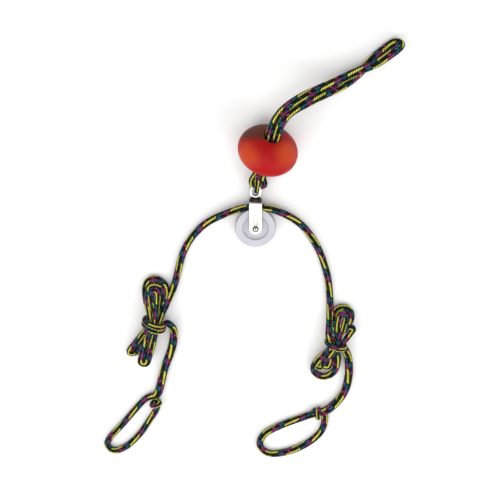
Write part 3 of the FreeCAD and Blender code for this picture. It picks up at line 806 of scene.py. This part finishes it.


def plated_material(name, tint, roughness, scratches, sides=(0.2, 0.5), dark=None):
    """Bright plate: slow variation of gloss, fine scratches, and painted shade on the steep sides of the piece.

    sides holds how level a surface is where the painted shade is full and where it ends.
    dark = (centre, weights, from, to) paints the plate dark where the weighted distance from the centre lies
    between the two: a painted dark reflection on a collar, and a painted shadow in the valley of a rolled head.
    """
    shader = Shader(name)
    place = shader.add("TexCoord").outputs["Object"]
    stretched = shader.add("Mapping", {0: place, 3: (1.0, 0.12, 1.0)}).outputs[0]
    lines = shader.noise(stretched, 5200.0, 2.0)
    slow = shader.noise(place, 320.0, 3.0)
    base = shader.mix(shader.spread(slow, 0.0, 0.22), colour(tint), colour([part * 0.82 for part in tint]))
    level = shader.add("SeparateXYZ", {0: shader.add("TexCoord").outputs["Normal"]}).outputs[2]
    upright = shader.math("ABSOLUTE", level)
    facing = shader.add("MapRange", {0: upright, 1: sides[0], 2: sides[1], 3: 1.0, 4: 0.0})
    # painted shade: steep sides darker than level faces
    base = shader.mix(facing.outputs[0], base, SIDE_SHADE)
    if dark:
        centre, weights, low, high = dark
        offset = shader.add("VectorMath", {0: place, 1: centre}, operation="SUBTRACT").outputs[0]
        kept = shader.add("VectorMath", {0: offset, 1: weights}, operation="MULTIPLY").outputs[0]
        distance = shader.add("VectorMath", {0: kept}, operation="LENGTH").outputs["Value"]
        after = shader.add("MapRange", {0: distance, 1: low, 2: low + DARK_EDGE, 3: 0.0, 4: 1.0})
        before = shader.add("MapRange", {0: distance, 1: high, 2: high + DARK_EDGE, 3: 1.0, 4: 0.0})
        both = shader.math("MULTIPLY", after.outputs[0], before.outputs[0])
        # painted dark band: dark reflection on the collar, shadow in the rivet's valley
        base = shader.mix(both, base, BAND_SHADE)
    sheen_and_wear = shader.spread(slow, roughness * 0.85, roughness * 1.25)
    return shader.finish(
        Base_Color=base,
        Roughness=shader.math("ADD", sheen_and_wear, shader.spread(lines, 0, 0.04)),
        Metallic=1.0,
        Normal=shader.bump(lines, scratches, 0.00002),
    )


def nylon_material(settings):
    """Moulded nylon: milky, slightly lilac, with faint flow lines and dust in its grain."""
    shader = Shader("white_nylon")
    place = shader.add("TexCoord").outputs["Object"]
    cloud = shader.noise(place, 130.0, 4.0)
    tint = [part * 0.86 for part in settings.nylon]
    base = shader.mix(shader.spread(cloud, 0.0, 0.6), colour(settings.nylon), colour(tint))
    grain = shader.noise(place, 3000.0, 2.0)
    return shader.finish(
        Base_Color=base,
        Roughness=shader.spread(grain, 0.28, 0.42),
        Normal=shader.bump(grain, 0.15, 0.00003),
        Subsurface_Weight=0.35,
        Subsurface_Radius=(0.004, 0.004, 0.005),
        Subsurface_Scale=1.0,
        Transmission_Weight=0.12,
        IOR=1.53,
    )


def floor_material(settings):
    """Plain matt paint."""
    shader = Shader("pale_floor")
    return shader.finish(Base_Color=colour(settings.floor), Roughness=0.9)


# painted dark places: a painted shadow in the valley of the rolled rivet head, and a painted dark reflection on
# the collar and shank on the crown
ROLLED = (tuple(AXLE), (1, 1, 0), 0.00135, 0.0023)
COLLAR = (tuple(AXLE), (0, 1, 0), 0.0150, CROWN_OUTER + 0.0027)
MATERIALS = {}


def material(name):
    """Each material is made once, when a piece first asks for it."""
    if name not in MATERIALS:
        scene = bpy.context.scene
        block = scene.pulley_block
        MATERIALS[name] = {
            "braid": lambda: braid_material(scene.pulley_rope),
            "lacquer": lambda: lacquer_material(scene.pulley_ball),
            "strap": lambda: plated_material("nickel_strap", block.nickel, 0.34, 0.12),
            "rivet": lambda: plated_material("nickel_rivet", block.nickel, 0.2, 0.1, dark=ROLLED),
            "eye": lambda: plated_material("nickel_eye", block.nickel, 0.16, 0.1, (0.35, 0.75), COLLAR),
            # the washers' plate is painted dark at 0.3 of the nickel: painted shade, as on the collar
            "washer": lambda: plated_material("nickel_washer", [part * 0.3 for part in block.nickel], 0.3, 0.4),
            "steel": lambda: plated_material("turned_steel", block.steel, 0.34, 0.6),
            "nylon": lambda: nylon_material(block),
            "floor": lambda: floor_material(scene.pulley_stage),
        }[name]()
    return MATERIALS[name]


def dress(piece, name, body, replaced=()):
    """Gives a new piece its material and body, and hides the nodes that it stands for."""
    piece.data.materials.clear()
    piece.data.materials.append(material(name))
    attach(piece, body)
    if replaced:
        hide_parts(*replaced)
    return piece


# ---------------------------------------------------------------- operators


SENSOR = 36  # width in mm that the lens is counted for

# soft square lamps: place, width and power
LAMPS = (
    ("key_left", (-0.75, -0.55, 0.75), 0.7, 3.8),
    ("key_right", (0.70, -0.50, 0.70), 0.6, 3.2),
    ("overhead", (0.0, 0.25, 1.6), 1.6, 9.2),
)
ROOM_HEIGHTS, ROOM_LIGHT = (0.10, 0.62), (0.06, 0.80)  # the room brightens between two heights of the view
ROOM_SEEN = 0.95  # how bright it looks


class PULLEY_OT_stage(bpy.types.Operator):
    """Makes the pale floor, the soft lights and the camera"""

    bl_idname = "pulley.stage"
    bl_label = "Stage"

    def execute(self, context):
        settings = context.scene.pulley_stage
        bpy.ops.mesh.primitive_plane_add(size=8, location=(0, 0, -0.0002))
        floor = context.object
        floor.name = "floor"
        floor.data.materials.append(material("floor"))
        aim = FOOT + np.array([settings.aim_x, settings.aim_y, 0])
        back = np.array([0, math.sin(settings.tilt), math.cos(settings.tilt)]) * settings.distance
        camera = bpy.data.objects.new("camera", bpy.data.cameras.new("camera"))
        camera.data.sensor_width = SENSOR
        camera.data.lens = SENSOR * settings.distance / settings.field
        camera.location = aim + back
        camera.rotation_euler = (-settings.tilt, 0, 0)
        context.scene.collection.objects.link(camera)
        context.scene.camera = camera
        for name, place, size, power in LAMPS:
            lamp = bpy.data.lights.new(name, "AREA")
            lamp.size = size
            lamp.energy = power
            light = bpy.data.objects.new(name, lamp)
            light.location = place
            light.rotation_euler = (Vector(aim) - Vector(place)).to_track_quat("-Z", "Y").to_euler()
            context.scene.collection.objects.link(light)
        world = bpy.data.worlds.new("studio")
        world.use_nodes = True
        light_room(world.node_tree)
        context.scene.world = world
        context.scene.view_settings.view_transform = "Standard"
        return {"FINISHED"}


def light_room(tree):
    """A room that is bright overhead and dim near the floor, and plain white where it is looked at."""
    direction = tree.nodes.new("ShaderNodeTexCoord").outputs["Generated"]
    parts = tree.nodes.new("ShaderNodeSeparateXYZ")
    tree.links.new(direction, parts.inputs[0])
    level = tree.nodes.new("ShaderNodeMapRange")
    tree.links.new(parts.outputs[2], level.inputs[0])
    for number, value in enumerate((*ROOM_HEIGHTS, *ROOM_LIGHT), start=1):
        level.inputs[number].default_value = value
    seen = tree.nodes.new("ShaderNodeLightPath").outputs["Is Camera Ray"]
    strength = tree.nodes.new("ShaderNodeMix")
    tree.links.new(seen, strength.inputs[0])
    tree.links.new(level.outputs[0], strength.inputs[2])
    strength.inputs[3].default_value = ROOM_SEEN
    background = tree.nodes["Background"]
    background.inputs[0].default_value = (1, 1, 1, 1)
    tree.links.new(strength.outputs[0], background.inputs[1])


class PULLEY_OT_anchor_cord(bpy.types.Operator):
    """Makes the doubled cord that the ball slides on"""

    bl_idname = "pulley.anchor_cord"
    bl_label = "Anchor cord"

    def execute(self, context):
        settings = context.scene.pulley_rope
        route = anchor_route()
        diameters = np.full(len(route), settings.diameter)
        # slack between the first and the last free point
        slack = slice(STRAIGHT_POINTS + 1, len(route) - STRAIGHT_POINTS - 1)
        diameters[slack] = settings.free_strand
        cord, line = braided_rope("anchor_cord_braid", route, diameters, settings, start=0.007)
        dress(cord, "braid", "swivel", ["anchor_cord"])
        hitch = make_hitch(settings)
        return {"FINISHED"}


HITCH_STRANDS = {
    "hitch_left": [
        (0.0013, 0.0506, 0.0063),
        (-0.0008, 0.0479, 0.0055),
        (-0.0029, 0.0443, 0.0045),
        (-0.0036, 0.0408, 0.0035),
        (-0.0024, 0.0379, 0.0018),
        (-0.0004, 0.0371, -0.0012),
        (0.0007, 0.0378, -0.0035),
        (0.0014, 0.0395, -0.0037),
    ],
    "hitch_right": [
        (0.0054, 0.0494, 0.0058),
        (0.0062, 0.0458, 0.0051),
        (0.0073, 0.0420, 0.0045),
        (0.0076, 0.0383, 0.0029),
        (0.0063, 0.0357, 0.0001),
        (0.0047, 0.0358, -0.0027),
        (0.0033, 0.0377, -0.0037),
        (0.0026, 0.0401, -0.0035),
    ],
    "hitch_centre": [
        (0.0025, 0.0500, 0.0075),
        (0.0024, 0.0460, 0.0069),
        (0.0019, 0.0419, 0.0061),
        (0.0014, 0.0378, 0.0047),
        (0.0009, 0.0337, 0.0021),
        (0.0006, 0.0306, -0.0011),
        (0.0010, 0.0312, -0.0041),
        (0.0017, 0.0345, -0.0047),
        (0.0023, 0.0383, -0.0043),
    ],
}
HITCH_DIAMETER, EYE_DIAMETER = 0.0051, 0.0042  # of its strands, and of the one that goes through the eye
FINE_STEP = 0.0004  # between rings on short strands


def make_hitch(settings):
    """Three short strands, wound over and through the eye and into each other."""
    pieces = []
    for number, (name, points) in enumerate(HITCH_STRANDS.items()):
        route = AXLE + np.array(points)
        diameters = np.full(len(route), HITCH_DIAMETER)
        if name == "hitch_centre":
            diameters[3:7] = EYE_DIAMETER
        strand, _ = braided_rope(name, route, diameters, settings, start=0.011 * number, step=FINE_STEP)
        replaced = ["anchor_hitch"] if number == 0 else []
        pieces.append(dress(strand, "braid", "swivel", replaced))
    return pieces


class PULLEY_OT_ropes(bpy.types.Operator):
    """Makes both halves of the rope, with their hanks, hand loops and knots"""

    bl_idname = "pulley.ropes"
    bl_label = "Ropes"

    def execute(self, context):
        settings = context.scene.pulley_rope
        for side, sign in (("left", -1), ("right", 1)):
            route, diameters = rope_route(side, sign, settings)
            rope, line = braided_rope("rope_" + side, route, diameters, settings, direction=sign)
            nodes = ["rope_arch_", "rope_hank_", "rope_wrap_", "rope_standing_", "hand_loop_"]
            dress(rope, "braid", "block", [name + side for name in nodes])
            knot = make_knot(side, settings)
        return {"FINISHED"}


# a turn of thinner rope round the place where the loop comes through: its centre, its direction,
# its half sizes across and up, its first and last angles, and its lead
KNOT = {
    "left": ((-0.0892, -0.1730, 0.0060), (0.40, -0.92, 0.0), 0.0034, 0.0032, (-120, 300), 0.0026),
    "right": ((0.0562, -0.1828, 0.0060), (-0.97, -0.20, 0.0), 0.0036, 0.0032, (-150, 420), 0.0056),
}
KNOT_DIAMETER, KNOT_POINTS = 0.0050, 24


def make_knot(side, settings):
    """A helical turn round a direction: centre + across a cos t + up b sin t + direction lead t."""
    centre, direction, wide, high, (first, last), lead = KNOT[side]
    direction = np.array(direction) / np.linalg.norm(direction)
    across = np.array([direction[1], -direction[0], 0])
    angle = np.radians(np.linspace(first, last, KNOT_POINTS))
    place = np.linspace(-0.5, 0.5, len(angle))[:, None] * lead * direction
    ring = across * wide * np.cos(angle)[:, None] + np.array([0, 0, 1]) * high * np.sin(angle)[:, None]
    route = FOOT + np.array(centre) + ring + place
    diameters = np.full(len(route), KNOT_DIAMETER)
    name = "loop_knot_turn_" + side
    turn, _ = braided_rope(name, route, diameters, settings, up=direction, step=FINE_STEP)
    return dress(turn, "braid", "block", ["loop_knot_" + side])


class PULLEY_OT_ball(bpy.types.Operator):
    """Makes the red door ball"""

    bl_idname = "pulley.ball"
    bl_label = "Door ball"

    def execute(self, context):
        settings = context.scene.pulley_ball
        outline = ball_outline(settings)
        ball = revolved("door_ball_turned", outline, BALL, BALL_AXIS, 160)
        dress(ball, "lacquer", "ball", ["door_ball"])
        return {"FINISHED"}


def ball_outline(settings):
    """Half an ellipse from the lower rim to the upper one, an eased rim, and the bore back down."""
    across, along = settings.width / 2, settings.height / 2
    rim_angle = math.acos((settings.bore + settings.rim) / across)
    angle = np.linspace(-rim_angle, rim_angle, 90)
    outer = np.column_stack([across * np.cos(angle), along * np.sin(angle)])
    end = outer[-1, 1]
    quarter = np.linspace(0, math.pi / 2, 8)[1:]
    ease = settings.rim * (1 - np.column_stack([np.sin(quarter), np.cos(quarter)]))
    top = np.array([settings.bore, end]) + ease * (1, -1)
    inner = np.column_stack([np.full(20, settings.bore), np.linspace(top[-1, 1], -top[-1, 1], 20)])
    bottom = top[::-1] * (1, -1)
    return np.vstack([outer, top, inner[1:-1], bottom])


# radii of the bores round the sleeve, the eye's shank and the rivet
SLEEVE_ROOM, SHANK_ROOM, RIVET_ROOM = 0.00255, 0.00205, 0.00165


class PULLEY_OT_block(bpy.types.Operator):
    """Makes the sheave, strap, rivet, sleeve and washers"""

    bl_idname = "pulley.block"
    bl_label = "Block"

    def execute(self, context):
        make_sheave()
        make_strap(context.scene.pulley_block)
        make_rivet()
        for node in ("side_washer_front", "side_washer_rear"):
            make_washer(node, (0, 0, 1), "washer", "block")
        make_washer("axle_sleeve", (0, 0, 1), "steel", "block", RIVET_ROOM)
        return {"FINISHED"}


def make_sheave():
    """Grooved wheel: rims, a round groove, a recessed web with a step, and a hub with its bore."""
    low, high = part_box("sheave")
    half = (high.z - low.z) / 2
    rim = (high.x - low.x) / 2
    groove, lip, opening = 0.003505, 0.00015, 0.04  # radius, how far in its centre is, angle of its edge
    hub, web, depth = 0.0055, 0.0112, 0.0022
    angle = np.linspace(math.pi * 1.5 + opening, math.pi / 2 - opening, 28)
    hollow = np.column_stack([rim - lip + groove * np.cos(angle), groove * np.sin(angle)])
    floor = -half + depth
    corners = [(SLEEVE_ROOM, -half), (hub, -half), (hub, floor), (web, floor), (web, -half), (rim, -half)]
    side = rounded(corners, 0.00035)[CORNER_STEPS:]
    bore = rounded_bore(SLEEVE_ROOM, half)
    outline = np.vstack([side, hollow, (side * (1, -1))[::-1], bore])
    wheel = revolved("sheave_wheel", outline, AXLE, (0, 0, 1), 128)
    dress(wheel, "nylon", "sheave", ["sheave"])


def rounded_bore(bore, half, ease=0.0003):
    """The bore's wall from top to bottom, with both its ends bevelled."""
    return np.array([(bore + ease, half), (bore, half - ease), (bore, -half + ease), (bore + ease, -half)])


def make_washer(node, axis, finish, body, bore=None):
    """A flat ring with eased edges, as large as its node."""
    low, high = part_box(node)
    size = np.array(high - low)
    along = int(np.argmax(axis))
    half = size[along] / 2
    outer = np.delete(size, along).max() / 2
    bore = bore or (SLEEVE_ROOM if body == "block" else SHANK_ROOM)
    corners = [(outer, -half), (outer, half), (bore, half), (bore, -half)]
    ring = revolved(node + "_turned", rounded(corners, 0.00018), middle(node), axis, 72)
    dress(ring, finish, body, [node])


def make_strap(settings):
    """The bent strip with its edges eased."""
    mesh = frame["nodes"]["strap"].data.copy()
    strap = bpy.data.objects.new("strap_plated", mesh)
    bpy.context.scene.collection.objects.link(strap)
    weld = strap.modifiers.new("weld", "WELD")
    weld.merge_threshold = 0.000002
    bevel = strap.modifiers.new("edges", "BEVEL")
    bevel.width = settings.edge
    bevel.segments = 3
    bevel.limit_method = "ANGLE"
    bevel.angle_limit = math.radians(40)
    bevel.harden_normals = True
    dress(strap, "strap", "block", ["strap"])


def make_rivet():
    """A tubular rivet with both ends rolled over: a domed head, a hollow in it and the tube between."""
    low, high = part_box("axle_rivet")
    half = (high.z - low.z) / 2
    head, shank, bore, thick = (high.x - low.x) / 2, 0.0016, 0.0005, 0.001
    curl = np.linspace(0, math.pi, 14)
    crest, roll, dome = (head + bore) / 2, (head - bore) / 2, thick * 0.75
    rolled = np.column_stack([crest + roll * np.cos(curl), half - dome + dome * np.sin(curl)])
    under = [(shank, half - thick), (head - 0.0001, half - thick)]
    upper = np.vstack([under, rolled])
    outline = np.vstack([upper, (upper * (1, -1))[::-1]])
    rivet = revolved("rivet_rolled", outline, AXLE, (0, 0, 1), 72)
    dress(rivet, "rivet", "block", ["axle_rivet"])


class PULLEY_OT_swivel(bpy.types.Operator):
    """Makes the eye's washers and gives the eye its plate"""

    bl_idname = "pulley.swivel"
    bl_label = "Swivel eye"

    def execute(self, context):
        make_washer("swivel_washer", (0, 1, 0), "washer", "swivel")
        make_washer("peen_washer", (0, 1, 0), "washer", "swivel")
        frame["nodes"]["swivel_eye"].data.materials.clear()
        frame["nodes"]["swivel_eye"].data.materials.append(material("eye"))
        return {"FINISHED"}


class PULLEY_PT_panel(bpy.types.Panel):
    """Lists what the add-on builds"""

    bl_idname = "PULLEY_PT_panel"
    bl_label = "Shoulder pulley"
    bl_space_type = "VIEW_3D"
    bl_region_type = "UI"
    bl_category = "Pulley"

    def draw(self, context):
        for operator in OPERATORS:
            self.layout.operator(operator.bl_idname)


OPERATORS = (
    PULLEY_OT_stage,
    PULLEY_OT_anchor_cord,
    PULLEY_OT_ropes,
    PULLEY_OT_ball,
    PULLEY_OT_block,
    PULLEY_OT_swivel,
)
SETTINGS = {
    "pulley_rope": RopeSettings,
    "pulley_ball": BallSettings,
    "pulley_block": BlockSettings,
    "pulley_stage": StageSettings,
}


def register():
    """Registers the classes, and gives the scene its settings."""
    for kind in (*SETTINGS.values(), *OPERATORS, PULLEY_PT_panel):
        bpy.utils.register_class(kind)
    for name, kind in SETTINGS.items():
        setattr(bpy.types.Scene, name, PointerProperty(type=kind))


def unregister():
    """Takes back what register did."""
    for name in SETTINGS:
        delattr(bpy.types.Scene, name)
    for kind in (PULLEY_PT_panel, *reversed(OPERATORS), *reversed(SETTINGS.values())):
        bpy.utils.unregister_class(kind)


def main():
    """Builds every piece in order."""
    register()
    for operator in OPERATORS:
        group, name = operator.bl_idname.split(".")
        getattr(getattr(bpy.ops, group), name)()


if __name__ == "__main__":
    main()
